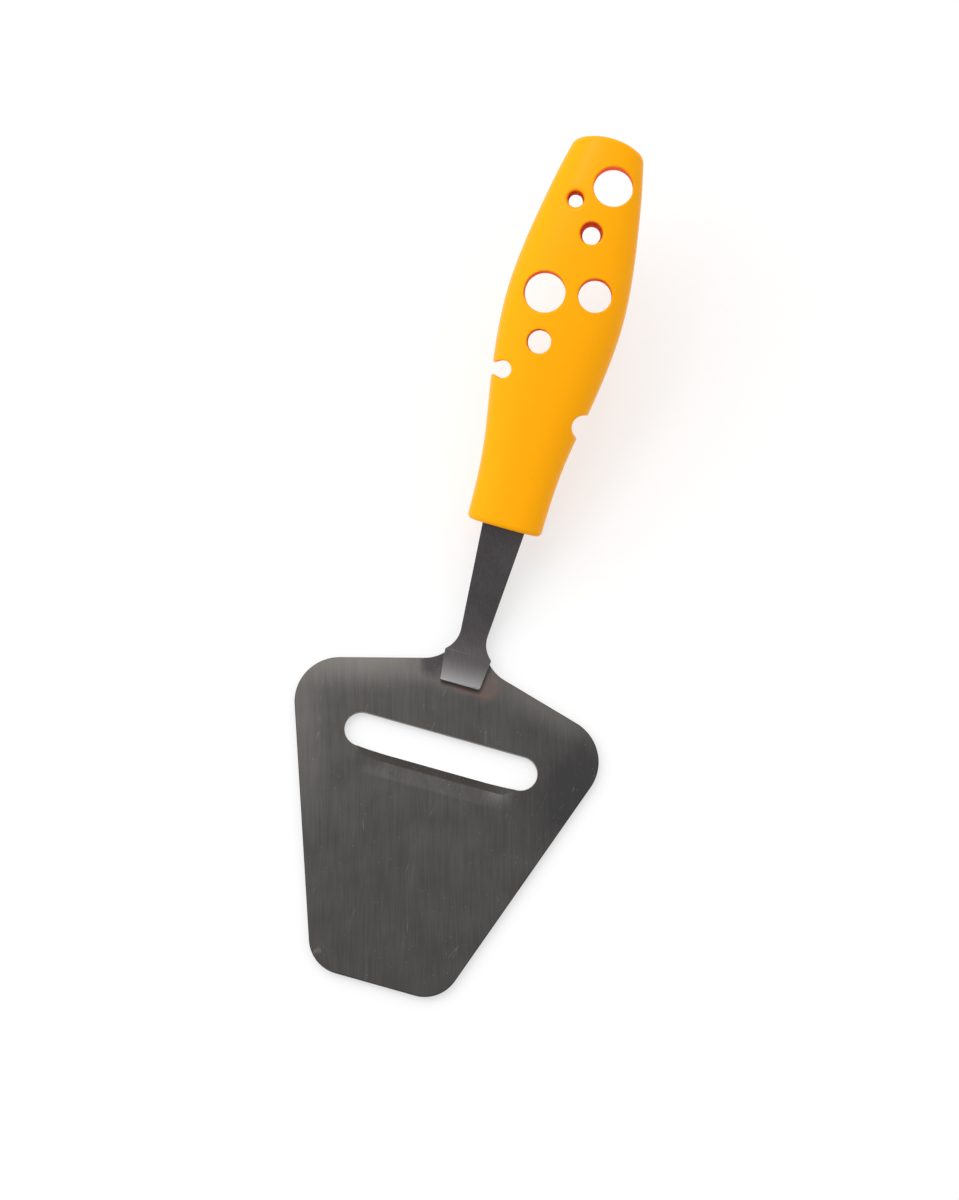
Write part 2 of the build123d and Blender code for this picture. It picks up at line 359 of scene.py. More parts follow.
def make_scratches():
    """Thin hairline scratches in two leanings, each broken up along its length."""
    group, given, result = new_group("scratches", {"Spacing": 0.012, "Width": 0.03}, ["Scratches"])
    place = add_node(group, "ShaderNodeTexCoord").outputs["Object"]
    total = 0
    for lean, stretch in scratch_leanings:
        turned = add_node(group, "ShaderNodeMapping", {
            "Vector": place, "Rotation": (0, 0, lean), "Scale": (1, stretch, 1),
        }).outputs[0]
        scale = calculate(group, "DIVIDE", 1, given["Spacing"])
        wander = add_node(group, "ShaderNodeTexNoise", {"Vector": turned, "Scale": scale, "Detail": 1})
        off_line = calculate(group, "ABSOLUTE", calculate(group, "SUBTRACT", wander.outputs["Fac"], 0.5))
        off_line = calculate(group, "DIVIDE", off_line, given["Width"])
        line = calculate(group, "SUBTRACT", 1, off_line, clamp=True)
        broken = add_node(group, "ShaderNodeTexNoise", {"Vector": place, "Scale": break_scale, "Detail": 2})
        kept = calculate(
            group, "MULTIPLY_ADD", broken.outputs["Fac"], break_sharpness, break_cut, clamp=True
        )
        total = calculate(group, "MULTIPLY_ADD", line, kept, total, clamp=True)
    group.links.new(total, result.inputs["Scratches"])
    return group


brushing = make_brushing()
glint_specks = make_glint_specks()
scratches = make_scratches()


def mix_colour(tree, share, first, second):
    """Output colour that lies a share of the way between two colours, the sockets 0, 6 and 7."""
    made = add_node(tree, "ShaderNodeMix", data_type="RGBA")
    for place, value in zip((0, 6, 7), (share, first, second)):
        if isinstance(value, bpy.types.NodeSocket):
            tree.links.new(value, made.inputs[place])
        else:
            made.inputs[place].default_value = value
    return made.outputs[2]


def new_material(name, settings):
    """Material with its shader's plain settings, and its node tree."""
    material = bpy.data.materials.new(name)
    material.use_nodes = True
    shader = material.node_tree.nodes["Principled BSDF"]
    for label, value in settings.items():
        shader.inputs[label].default_value = value
    return material, material.node_tree, shader


def soft_patch(tree, centre_x, centre_y, half_width, half_length, lean):
    """Mask that fades from one at its centre to nothing at the edge of a leaning oval."""
    place = add_node(tree, "ShaderNodeTexCoord").outputs["Object"]
    moved = add_node(tree, "ShaderNodeMapping", {
        "Vector": place,
        "Location": (centre_x, centre_y, 0),
        "Rotation": (0, 0, lean),
        "Scale": (half_width, half_length, 1),
    }, vector_type="TEXTURE")
    fade = add_node(tree, "ShaderNodeTexGradient", {"Vector": moved.outputs[0]}, gradient_type="SPHERICAL")
    soft = add_node(tree, "ShaderNodeMapRange", {
        "Value": fade.outputs["Fac"],
    }, interpolation_type="SMOOTHSTEP")
    return soft.outputs["Result"]


blade_steel_dark = (0.051, 0.049, 0.049, 1)
blade_steel_light = (0.190, 0.179, 0.166, 1)
rim_painted_shade_steel = (0.050, 0.046, 0.048, 1)
wear_and_highlight_steel = (0.40, 0.38, 0.36, 1)
violet_tint_and_shadow = (0.030, 0.025, 0.036, 1)
brown_tint = (0.155, 0.103, 0.085, 1)
brushing_lean = radians(16)
grain_share = 0.28
streak_share = 0.16
cloud_share = 0.24
plain_tone = 0.17 - (grain_share + streak_share + cloud_share) / 2

# Painted sheen and shade: patches where the steel's colour is made lighter, or with a negative share
# darker, where the sheet would catch more or less light: their middle across and along, half width,
# half length and lean, and how much lighter they are.
painted_sheen_patches = (
    (-0.0400, 0.0180, 0.0105, 0.0420, side_taper, 0.22),
    (-0.0270, rear_line - 0.0050, 0.0340, 0.0120, rear_edge_fall, 0.66),
    (0.0220, rear_line - 0.0040, 0.0300, 0.0090, -rear_edge_fall, 0.32),
    (-0.0050, rear_line - 0.0060, 0.0160, 0.0050, 0, 0.24),
    (0.0380, 0.0200, 0.0160, 0.0260, -side_taper, -0.22),
)
# The purple spot beside the tab is heat tint darkened with a painted shadow of the tab; the brown spots are
# heat tint.
violet_tint_and_shadow_spot = (-0.0090, rear_line - 0.0012, 0.0056, 0.0078, 0)
brown_spots = (
    (0.0082, rear_line - 0.0050, 0.0045, 0.0070, radians(-20)),
    (0.0030, rear_line - 0.0070, 0.0100, 0.0022, 0),
)
tint_reach = 2.2
tint_raggedness = 1.4
tint_cut = -1.05
violet_tint_and_shadow_share = 0.6
brown_share = 0.45
scratch_and_glint_share = 0.2
outer_rim_shade_share = 0.7
slot_rim_highlight_share = 0.5
blade_least_roughness = 0.30
blade_cloud_roughness = 0.16
scratch_depth = -1.5


def make_blade_steel():
    """Brushed sheet steel, tinted by the weld's heat, with painted sheen and shade patches, a painted
    shadow by the tab, painted dark outer rims and painted highlights on the slot's rim.
    """
    material, tree, shader = new_material("brushed_blade_steel", {"Metallic": 1.0})
    grain = use_group(tree, brushing, {
        "Lean": brushing_lean, "Line width": 0.00034, "Line length": 0.009, "Cloud size": 0.009,
    })
    streaks = use_group(tree, brushing, {
        "Lean": brushing_lean, "Line width": 0.0013, "Line length": 0.030, "Cloud size": 0.004,
    })
    points = use_group(tree, glint_specks, {"Spacing": 0.0009, "Share": 0.07})["Specks"]
    hairs = use_group(tree, scratches, {"Spacing": 0.016, "Width": 0.004})["Scratches"]
    tone = calculate(tree, "MULTIPLY_ADD", grain["Lines"], grain_share, plain_tone)
    tone = calculate(tree, "MULTIPLY_ADD", streaks["Lines"], streak_share, tone)
    tone = calculate(tree, "MULTIPLY_ADD", grain["Clouds"], cloud_share, tone)
    # the painted sheen and shade patches lighten or darken the steel's tone
    for *oval, gain in painted_sheen_patches:
        tone = calculate(tree, "MULTIPLY_ADD", soft_patch(tree, *oval), gain, tone)
    tone = calculate(tree, "MAXIMUM", calculate(tree, "MINIMUM", tone, 1), 0)
    colour = mix_colour(tree, tone, blade_steel_dark, blade_steel_light)

    # purple heat tint with painted shadow beside the tab, then brown heat tint, both ragged at their edges
    ragged = calculate(tree, "MULTIPLY_ADD", streaks["Clouds"], tint_raggedness, tint_cut)
    spot = soft_patch(tree, *violet_tint_and_shadow_spot)
    tint_and_shadow = calculate(tree, "MULTIPLY_ADD", spot, tint_reach, ragged, clamp=True)
    colour = mix_colour(tree, calculate(tree, "MULTIPLY", tint_and_shadow, violet_tint_and_shadow_share), colour, violet_tint_and_shadow)
    for oval in brown_spots:
        spot = soft_patch(tree, *oval)
        brown = calculate(tree, "MULTIPLY_ADD", spot, tint_reach, ragged, clamp=True)
        colour = mix_colour(tree, calculate(tree, "MULTIPLY", brown, brown_share), colour, brown_tint)

    # the scratches are lighter wear, and the bright points over them are painted glints
    scratches_and_glints = calculate(tree, "MULTIPLY", hairs, scratch_and_glint_share)
    scratches_and_glints = calculate(tree, "MULTIPLY_ADD", points, scratch_and_glint_share, scratches_and_glints, clamp=True)
    colour = mix_colour(tree, scratches_and_glints, colour, wear_and_highlight_steel)
    # painted shade: the blade's rounded outer rim is darkened as if it reflected dark surroundings
    outer = add_node(tree, "ShaderNodeAttribute", attribute_name="outer_rim").outputs["Fac"]
    colour = mix_colour(tree, calculate(tree, "MULTIPLY", outer, outer_rim_shade_share), colour, rim_painted_shade_steel)
    # painted highlight along the slot's rounded rim
    inner = add_node(tree, "ShaderNodeAttribute", attribute_name="slot_rim").outputs["Fac"]
    colour = mix_colour(tree, calculate(tree, "MULTIPLY", inner, slot_rim_highlight_share), colour, wear_and_highlight_steel)
    tree.links.new(colour, shader.inputs["Base Color"])
    roughness = calculate(
        tree, "MULTIPLY_ADD", grain["Clouds"], blade_cloud_roughness, blade_least_roughness
    )
    tree.links.new(roughness, shader.inputs["Roughness"])
    height = calculate(tree, "MULTIPLY_ADD", hairs, scratch_depth, grain["Lines"])
    bump = add_node(tree, "ShaderNodeBump", {"Height": height, "Strength": 0.2, "Distance": 0.00004})
    tree.links.new(bump.outputs[0], shader.inputs["Normal"])
    return material


def place_piece(name, mesh, material):
    """Object for a finished mesh, at the origin, with its material."""
    piece = bpy.data.objects.new(name, mesh)
    bpy.context.scene.collection.objects.link(piece)
    mesh.materials.clear()
    mesh.materials.append(material)
    return piece


blade = place_piece("blade_sheet", make_blade_mesh(), make_blade_steel())
even_flats = blade.modifiers.new("even flats", "WEIGHTED_NORMAL")
even_flats.keep_sharp = True
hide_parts("blade_plate")
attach(blade, "root")


# Shank: a flat stainless strip, blanked with a flared tab, a waisted neck and a tang that runs on inside
# the handle. It is bent upwards behind the tab, finely brushed, and bright where its welded end was ground.
# Its colour also holds a painted highlight along that end's rim, painted glints and painted shade on its
# rims.
shank_thickness = 0.002
strip_middle = sheet_thickness + shank_thickness / 2
tab_length = 0.0064
tab_end_half_width = 0.0056
tab_corner_radius = 0.0005
flare_corner_radius = 0.0006
neck_half_width = 0.00385
neck_distance = 0.009
root_half_width = 0.006
root_distance = 0.0394
bend_start = tongue_length
bend_angle = radians(18)
bend_radius = 0.040
bend_end = bend_start + bend_radius * bend_angle
tang_length = 0.04245
tang_end_half_width = 0.004
strip_rim_radius = 0.0003
corner_angle = radians(50)
station_gap = 0.0012


def strip_stations():
    """Distances along the strip with its half width at each, from the tab's end to the tang's."""
    flare = Vector((flare_half_width, bend_start))
    neck = Vector((neck_half_width, neck_distance))
    root = Vector((root_half_width, root_distance))
    rising = (root - neck).normalized()
    waist = arc_between(flare, neck, Vector((rising.y, -rising.x)))
    right = [
        Vector((tab_end_half_width, -tab_length)),
        *waist,
        root,
        Vector((tang_end_half_width, root_distance + tang_length)),
    ]
    radii = [tab_corner_radius, flare_corner_radius] + [0] * (len(right) - 2)
    left = [Vector((-corner.x, corner.y)) for corner in reversed(right)]
    points, outwards = rounded_outline(right + left, radii + radii[::-1])
    corners = sorted((point.y, point.x) for point in points if point.x > 0)
    stations = [corners[0]]
    for distance, half_width in corners[1:]:
        from_distance, from_half_width = stations[-1]
        parts = max(1, round((distance - from_distance) / station_gap))
        for part in range(1, parts + 1):
            share = part / parts
            stations.append((mix(from_distance, distance, share), mix(from_half_width, half_width, share)))
    return stations


def bent_strip_tree():
    """Geometry tree: a line of stations gets a flat section of the width at each, and is bent upwards."""
    tree = bpy.data.node_groups.new("bent_strip", "GeometryNodeTree")
    tree.interface.new_socket("Stations", in_out="INPUT", socket_type="NodeSocketGeometry")
    tree.interface.new_socket("Strip", in_out="OUTPUT", socket_type="NodeSocketGeometry")
    names = ("Thickness", "Rear line", "Middle height", "Bend start", "Bend radius", "Bend angle")
    sockets = {}
    for name in names:
        socket = tree.interface.new_socket(name, in_out="INPUT", socket_type="NodeSocketFloat")
        sockets[name] = socket.identifier
    socket = tree.interface.new_socket("Material", in_out="INPUT", socket_type="NodeSocketMaterial")
    sockets["Material"] = socket.identifier
    given = tree.nodes.new("NodeGroupInput").outputs
    result = tree.nodes.new("NodeGroupOutput")

    line = add_node(tree, "GeometryNodeMeshToCurve", {"Mesh": given["Stations"]}).outputs["Curve"]
    section = add_node(tree, "GeometryNodeCurvePrimitiveQuadrilateral", {
        "Width": 2, "Height": given["Thickness"],
    })
    swept = add_node(tree, "GeometryNodeCurveToMesh", {
        "Curve": line, "Profile Curve": section.outputs["Curve"], "Fill Caps": True,
    })
    flat = add_node(tree, "GeometryNodeInputPosition").outputs[0]
    axes = add_node(tree, "ShaderNodeSeparateXYZ", {0: flat}).outputs
    half_width = add_node(tree, "GeometryNodeInputNamedAttribute", {
        "Name": "half_width",
    }, data_type="FLOAT")
    across = calculate(tree, "MULTIPLY", axes["X"], half_width.outputs["Attribute"])

    past_start = calculate(tree, "SUBTRACT", axes["Y"], given["Bend start"])
    before_bend = calculate(tree, "MINIMUM", axes["Y"], given["Bend start"])
    turned = calculate(tree, "DIVIDE", past_start, given["Bend radius"])
    turned = calculate(tree, "MINIMUM", calculate(tree, "MAXIMUM", turned, 0), given["Bend angle"])
    bent_length = calculate(tree, "MULTIPLY", given["Bend radius"], given["Bend angle"])
    straight = calculate(tree, "MAXIMUM", calculate(tree, "SUBTRACT", past_start, bent_length), 0)
    sine, cosine = calculate(tree, "SINE", turned), calculate(tree, "COSINE", turned)

    forward = calculate(tree, "ADD", before_bend, given["Rear line"])
    forward = calculate(tree, "MULTIPLY_ADD", given["Bend radius"], sine, forward)
    forward = calculate(tree, "MULTIPLY_ADD", straight, cosine, forward)
    forward = calculate(tree, "SUBTRACT", forward, calculate(tree, "MULTIPLY", axes["Z"], sine))
    rise = calculate(tree, "MULTIPLY", given["Bend radius"], calculate(tree, "SUBTRACT", 1, cosine))
    rise = calculate(tree, "MULTIPLY_ADD", straight, sine, rise)
    rise = calculate(tree, "MULTIPLY_ADD", axes["Z"], cosine, rise)
    rise = calculate(tree, "ADD", rise, given["Middle height"])
    bent = add_node(tree, "ShaderNodeCombineXYZ", {"X": across, "Y": forward, "Z": rise}).outputs[0]

    placed = add_node(tree, "GeometryNodeSetPosition", {
        "Geometry": swept.outputs["Mesh"], "Position": bent,
    })
    realized = add_node(tree, "GeometryNodeRealizeInstances", {"Geometry": placed.outputs["Geometry"]})
    painted = add_node(tree, "GeometryNodeSetMaterial", {
        "Geometry": realized.outputs["Geometry"], "Material": given["Material"],
    })
    tree.links.new(painted.outputs["Geometry"], result.inputs["Strip"])
    return tree, sockets


def make_shank_mesh(material):
    """The strip's mesh, grown by the geometry tree over a line of stations."""
    stations = strip_stations()
    line = bpy.data.meshes.new("strip_stations")
    edges = [(index, index + 1) for index in range(len(stations) - 1)]
    line.from_pydata([(0, distance, 0) for distance, half_width in stations], edges, [])
    widths = line.attributes.new("half_width", "FLOAT", "POINT")
    widths.data.foreach_set("value", [half_width for distance, half_width in stations])
    guide = bpy.data.objects.new("strip_stations", line)
    bpy.context.scene.collection.objects.link(guide)
    tree, sockets = bent_strip_tree()
    growth = guide.modifiers.new("bent strip", "NODES")
    growth.node_group = tree
    values = {
        "Thickness": shank_thickness,
        "Rear line": rear_line,
        "Middle height": strip_middle,
        "Bend start": bend_start,
        "Bend radius": bend_radius,
        "Bend angle": bend_angle,
        "Material": material,
    }
    for name, value in values.items():
        growth[sockets[name]] = value
    bpy.context.view_layer.update()
    evaluated = guide.evaluated_get(bpy.context.evaluated_depsgraph_get())
    grown = bpy.data.meshes.new_from_object(evaluated)
    guide.modifiers.remove(growth)
    bpy.data.objects.remove(guide)
    mesh = bmesh.new()
    mesh.from_mesh(grown)
    bmesh.ops.remove_doubles(mesh, verts=mesh.verts, dist=merge_distance)
    rim = mesh.faces.layers.float.new("rim")
    corners = [edge for edge in mesh.edges if edge.calc_face_angle(0) > corner_angle]
    rounded = bmesh.ops.bevel(
        mesh, geom=corners, offset=strip_rim_radius, segments=3, profile=0.5, affect="EDGES",
        clamp_overlap=True,
    )
    for face in rounded["faces"]:
        face[rim] = 1
    return finish_mesh(mesh, "shank_strip")


shank_steel_dark = (0.066, 0.059, 0.063, 1)
shank_steel_light = (0.122, 0.115, 0.119, 1)
ground_steel = (0.29, 0.285, 0.285, 1)
painted_highlight_steel = (0.90, 0.87, 0.86, 1)
ground_length = 0.0085
ground_fade = 2
shank_line_contrast = 0.8
shank_cloud_contrast = 0.5
shank_plain_tone = -0.3
shank_glint_share = 0.2
shank_rim_shade_share = 0.6
end_rim_highlight_reach = 1.6
shank_least_roughness = 0.34
shank_cloud_roughness = 0.14


def make_shank_steel():
    """Finely brushed steel, brighter over the ground end of the tab, with a painted highlight along that
    end's rim, painted glints and painted shade on its rims.
    """
    material, tree, shader = new_material("brushed_shank_steel", {"Metallic": 1.0})
    grain = use_group(tree, brushing, {
        "Lean": brushing_lean, "Line width": 0.0003, "Line length": 0.0035, "Cloud size": 0.006,
    })
    points = use_group(tree, glint_specks, {"Spacing": 0.0006, "Share": 0.2})["Specks"]
    tone = calculate(tree, "MULTIPLY_ADD", grain["Lines"], shank_line_contrast, shank_plain_tone)
    tone = calculate(tree, "MULTIPLY_ADD", grain["Clouds"], shank_cloud_contrast, tone, clamp=True)
    colour = mix_colour(tree, tone, shank_steel_dark, shank_steel_light)
    # painted glints on the strip
    colour = mix_colour(tree, calculate(tree, "MULTIPLY", points, shank_glint_share), colour, ground_steel)
    place = add_node(tree, "ShaderNodeTexCoord").outputs["Object"]
    along = add_node(tree, "ShaderNodeSeparateXYZ", {0: place}).outputs["Y"]
    ground = calculate(tree, "SUBTRACT", rear_line - tab_length + ground_length, along)
    ground = calculate(tree, "DIVIDE", ground, ground_length, clamp=True)
    colour = mix_colour(tree, calculate(tree, "POWER", ground, ground_fade), colour, ground_steel)
    # painted shade: the strip's rounded rims are darkened
    rim = add_node(tree, "ShaderNodeAttribute", attribute_name="rim").outputs["Fac"]
    colour = mix_colour(tree, calculate(tree, "MULTIPLY", rim, shank_rim_shade_share), colour, rim_painted_shade_steel)
    # painted highlight along the rim of the tab's ground end
    end_rim_highlight = calculate(tree, "MULTIPLY", ground, end_rim_highlight_reach, clamp=True)
    end_rim_highlight = calculate(tree, "MULTIPLY", rim, end_rim_highlight)
    colour = mix_colour(tree, end_rim_highlight, colour, painted_highlight_steel)
    tree.links.new(colour, shader.inputs["Base Color"])
    roughness = calculate(
        tree, "MULTIPLY_ADD", grain["Clouds"], shank_cloud_roughness, shank_least_roughness
    )
    tree.links.new(roughness, shader.inputs["Roughness"])
    bump = add_node(tree, "ShaderNodeBump", {
        "Height": grain["Lines"], "Strength": 0.35, "Distance": 0.00005,
    })
    tree.links.new(bump.outputs[0], shader.inputs["Normal"])
    return material


brushed_steel = make_shank_steel()
shank = place_piece("shank_strip", make_shank_mesh(brushed_steel), brushed_steel)
even_flats = shank.modifiers.new("even flats", "WEIGHTED_NORMAL")
even_flats.keep_sharp = True
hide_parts("shank")
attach(shank, "root")


# Weld nuggets: two round spots of melted steel inside the joint, where resistance welding fuses the tab
# and the blade. They keep their built shape.
weld_least_roughness = 0.35
weld_cloud_roughness = 0.3


def make_weld_steel():
    """Melted and cooled steel, dull and cloudy."""
    material, tree, shader = new_material("melted_weld_steel", {"Metallic": 1.0})
    grain = use_group(tree, brushing, {"Line width": 0.0005, "Line length": 0.0005, "Cloud size": 0.002})
    colour = mix_colour(tree, grain["Lines"], shank_steel_dark, blade_steel_light)
    tree.links.new(colour, shader.inputs["Base Color"])
    roughness = calculate(
        tree, "MULTIPLY_ADD", grain["Clouds"], weld_cloud_roughness, weld_least_roughness
    )
    tree.links.new(roughness, shader.inputs["Roughness"])
    return material


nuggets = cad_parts["weld_nuggets"]
nuggets.data.materials.clear()
nuggets.data.materials.append(make_weld_steel())


# Handle: one solid moulding in orange-yellow plastic, oval across and swelling to a belly, moulded over
# the tang. Cores in the mould leave its round holes and edge notches, with smooth walls and rounded rims,
# and the spark-eroded mould gives it a fine grain.
handle_length = 0.1102
belly_half_width = 0.01665
belly_half_thickness = 0.0095
oval_fullness = 2.35
butt_radius = 0.0205
butt_rim_radius = 0.0011
end_rim_radius = 0.0013
hole_rim_radius = 0.00045
net_pitch = 0.00042
slope_reach = net_pitch / 40
least_slope = 0.1
settle_rounds = 2
even_rounds = 4
even_share = 0.5
tiny = 1e-9
oval_rows = np.array((
    (0.000, 0.634, 0.780),
    (0.055, 0.640, 0.776),
    (0.110, 0.652, 0.776),
    (0.217, 0.721, 0.820),
    (0.326, 0.844, 0.900),
    (0.435, 0.946, 0.965),
    (0.562, 1.000, 1.000),
    (0.688, 0.943, 0.950),
    (0.797, 0.835, 0.865),
    (0.897, 0.712, 0.765),
    (1.030, 0.500, 0.617),
)) * (handle_length, belly_half_width, belly_half_thickness)

# Each hole's place across and along as shares of the belly's half width and of the handle's length, then
# its top and underside radii, and its rim's rounding.
round_holes = (
    (0.238, 0.8856, 0.0054, 0.0054, hole_rim_radius),
    (-0.302, 0.8322, 0.00235, 0.00185, 0.001),
    (0.097, 0.761, 0.00320, 0.00240, hole_rim_radius),
    (-0.383, 0.592, 0.00565, 0.00565, hole_rim_radius),
    (0.427, 0.6155, 0.0046, 0.0046, hole_rim_radius),
    (-0.255, 0.4705, 0.0033, 0.0033, hole_rim_radius),
    (0.841, 0.2935, 0.00345, 0.00345, hole_rim_radius),
)
left_notch_shares = (-0.717, 0.3805)
left_notch_radius = 0.00245
left_notch_half_throat = 0.0016
left_notch_turn = radians(8)
left_notch_rim_radius = 0.0006
throat_corner_radius = 0.0008


def handle_frame():
    """Matrix of the handle's own axes: X across, Y along from its lower end, Z out of its top."""
    straight = root_distance - bend_end
    forward = rear_line + bend_start + bend_radius * sin(bend_angle) + straight * cos(bend_angle)
    rise = strip_middle + bend_radius * (1 - cos(bend_angle)) + straight * sin(bend_angle)
    return Matrix.Translation((0, forward, rise)) @ Matrix.Rotation(bend_angle, 4, "X")


def smooth_row(places, values, at):
    """Natural cubic through the rows' values, and its slope, at the given places."""
    gaps = np.diff(places)
    rates = np.diff(values) / gaps
    last = len(places) - 1
    system = np.eye(last + 1)
    pull = np.zeros(last + 1)
    for row in range(1, last):
        system[row, row - 1:row + 2] = gaps[row - 1], 2 * (gaps[row - 1] + gaps[row]), gaps[row]
        pull[row] = 6 * (rates[row] - rates[row - 1])
    bends = np.linalg.solve(system, pull)
    row = np.clip(np.searchsorted(places, at) - 1, 0, last - 1)
    along = at - places[row]
    rate = rates[row] - gaps[row] * (2 * bends[row] + bends[row + 1]) / 6
    growth = (bends[row + 1] - bends[row]) / gaps[row]
    value = values[row] + along * (rate + along * (bends[row] / 2 + along * growth / 6))
    return value, rate + along * (bends[row] + along * growth / 2)


def round_both(first, second, radius):
    """Distance to a solid that two surfaces bound together, with the edge between them rounded."""
    over = np.hypot(np.maximum(first + radius, 0), np.maximum(second + radius, 0))
    return np.minimum(-radius, np.maximum(first, second)) + over


def round_either(first, second, radius):
    """Distance to a solid made of two together, with the inner corner between them rounded."""
    short = np.hypot(np.maximum(radius - first, 0), np.maximum(radius - second, 0))
    return np.maximum(radius, np.minimum(first, second)) - short


def oval_distance(across, along, up):
    """Distance outside the handle's swelling oval side."""
    half_width, widening = smooth_row(oval_rows[:, 0], oval_rows[:, 1], along)
    half_thickness, thickening = smooth_row(oval_rows[:, 0], oval_rows[:, 2], along)
    across_part = (np.abs(across) / half_width) ** oval_fullness
    up_part = (np.abs(up) / half_thickness) ** oval_fullness
    total = np.maximum(across_part + up_part, tiny)
    reach = total ** (1 / oval_fullness)
    slope_across = across_part / np.maximum(np.abs(across), tiny)
    slope_up = up_part / np.maximum(np.abs(up), tiny)
    slope_along = across_part * widening / half_width + up_part * thickening / half_thickness
    steepness = reach / total * np.sqrt(slope_across ** 2 + slope_up ** 2 + slope_along ** 2)
    return (reach - 1) / np.maximum(steepness, tiny)


def hole_distances(across, along, up):
    """Distance outside each hole and notch, paired with its rim's rounding."""
    found = []
    for across_share, along_share, top_radius, under_radius, rim_radius in round_holes:
        radius = mix(under_radius, top_radius, 0.5 + up / belly_half_thickness / 2)
        from_axis = np.hypot(across - across_share * belly_half_width, along - along_share * handle_length)
        found.append((from_axis - radius, rim_radius))
    out = across - left_notch_shares[0] * belly_half_width
    beside = along - left_notch_shares[1] * handle_length
    inward = out * cos(left_notch_turn) + beside * sin(left_notch_turn)
    beside = beside * cos(left_notch_turn) - out * sin(left_notch_turn)
    bore = np.hypot(inward, beside) - left_notch_radius
    throat = np.maximum(np.abs(beside) - left_notch_half_throat, inward)
    found.append((round_either(bore, throat, throat_corner_radius), left_notch_rim_radius))
    return found


def moulding_distance(across, along, up):
    """Distance outside the whole moulding, in the handle's own axes."""
    butt_centre = handle_length - butt_radius
    butt = np.hypot(across, np.maximum(along - butt_centre, 0)) - butt_radius
    distance = round_both(oval_distance(across, along, up), -along, end_rim_radius)
    distance = round_both(distance, butt, butt_rim_radius)
    for hole, rim_radius in hole_distances(across, along, up):
        distance = round_both(distance, -hole, rim_radius)
    return distance


def net_surface(distances):
    """Quad net over the zero level of a grid of distances, with one point in each cell that it crosses."""
    cells = tuple(size - 1 for size in distances.shape)
    counts = np.zeros(cells)
    sums = np.zeros(cells + (3,))
    crossings = []
    for axis in range(3):
        first, second = [other for other in range(3) if other != axis]
        lines = np.moveaxis(distances, axis, 0)
        near, far = lines[:-1], lines[1:]
        crossing = (near < 0) != (far < 0)
        place = np.where(crossing, near / np.where(crossing, near - far, 1), 0)
        crossings.append((crossing, near < 0))
        axis_counts, axis_sums = np.moveaxis(counts, axis, 0), np.moveaxis(sums, axis, 0)
        rows, columns = axis_counts.shape[1:]
        for down in (0, 1):
            for beside in (0, 1):
                window = (slice(None), slice(down, down + rows), slice(beside, beside + columns))
                axis_counts += crossing[window]
                axis_sums[..., axis] += place[window]
                axis_sums[..., first] += crossing[window] * down
                axis_sums[..., second] += crossing[window] * beside
    crossed = counts > 0
    numbers = np.full(cells, -1)
    numbers[crossed] = np.arange(crossed.sum())
    points = np.argwhere(crossed) + sums[crossed] / counts[crossed][:, None]
    quads = []
    for axis, (crossing, inside) in enumerate(crossings):
        lines = np.moveaxis(numbers, axis, 0)
        step, down, beside = np.nonzero(crossing[:, 1:-1, 1:-1])
        corners = ((0, 0), (1, 0), (1, 1), (0, 1))
        found = np.stack([lines[step, down + i, beside + j] for i, j in corners], axis=1)
        backwards = inside[:, 1:-1, 1:-1][step, down, beside] == (axis == 1)
        found[backwards] = found[backwards][:, ::-1]
        quads.append(found)
    return points, np.concatenate(quads)


def surface_slope(points):
    """Gradient of the moulding's distance at each point."""
    slopes = []
    for axis in np.eye(3) * slope_reach:
        slopes.append(moulding_distance(*(points + axis).T) - moulding_distance(*(points - axis).T))
    return np.stack(slopes, axis=1) / (2 * slope_reach)


def settle(points, rounds):
    """Moves points along the gradient on to the moulding's surface."""
    for _ in range(rounds):
        slope = surface_slope(points)
        distance = moulding_distance(*points.T)
        points = points - slope * (distance / np.maximum((slope ** 2).sum(1), least_slope))[:, None]
    return points


def even_out(points, quads, rounds):
    """Spaces the net's points evenly over the surface."""
    pairs = np.concatenate([quads[:, [side, (side + 1) % 4]] for side in range(4)])
    counts = np.bincount(pairs[:, 0], minlength=len(points))
    for _ in range(rounds):
        sums = [np.bincount(pairs[:, 0], points[pairs[:, 1], axis], len(points)) for axis in range(3)]
        means = np.stack([total / counts for total in sums], axis=1)
        points = settle(mix(points, means, even_share), 1)
    return points


def make_handle_mesh():
    """The moulding as a fine quad net on its true surface, with exact normals and marked hole walls."""
    low = np.array((-belly_half_width, 0, -belly_half_thickness)) - 2 * net_pitch
    high = np.array((belly_half_width, handle_length, belly_half_thickness)) + 2 * net_pitch
    axes = [np.arange(start, end + net_pitch, net_pitch) for start, end in zip(low, high)]
    distances = moulding_distance(axes[0][:, None, None], axes[1][None, :, None], axes[2][None, None, :])
    points, quads = net_surface(distances)
    points = even_out(settle(points * net_pitch + low, settle_rounds), quads, even_rounds)
    points = settle(points, settle_rounds)
    slope = surface_slope(points)
    normals = slope / np.linalg.norm(slope, axis=1)[:, None]
    nearest_hole = np.min([hole for hole, rim in hole_distances(*points.T)], axis=0)
    depth = -oval_distance(*points.T) * (nearest_hole < hole_rim_radius / 10)

    to_world = np.array(handle_frame())
    mesh = bpy.data.meshes.new("handle_moulding")
    mesh.from_pydata(points @ to_world[:3, :3].T + to_world[:3, 3], [], quads)
    walls = mesh.attributes.new("wall_depth", "FLOAT", "POINT")
    walls.data.foreach_set("value", depth)
    mesh.shade_smooth()
    mesh.normals_split_custom_set_from_vertices(normals @ to_world[:3, :3].T)
    return mesh


plastic_colour = (0.990, 0.400, 0.002, 1)
painted_wall_light_colour = (0.95, 0.12, 0.015, 1)
wall_fade = 700
painted_wall_light_share = 0.8
wall_roughness = 0.45
cloud_scale = 90
plastic_least_roughness = 0.22
plastic_cloud_roughness = 0.10
pit_scale = 4200


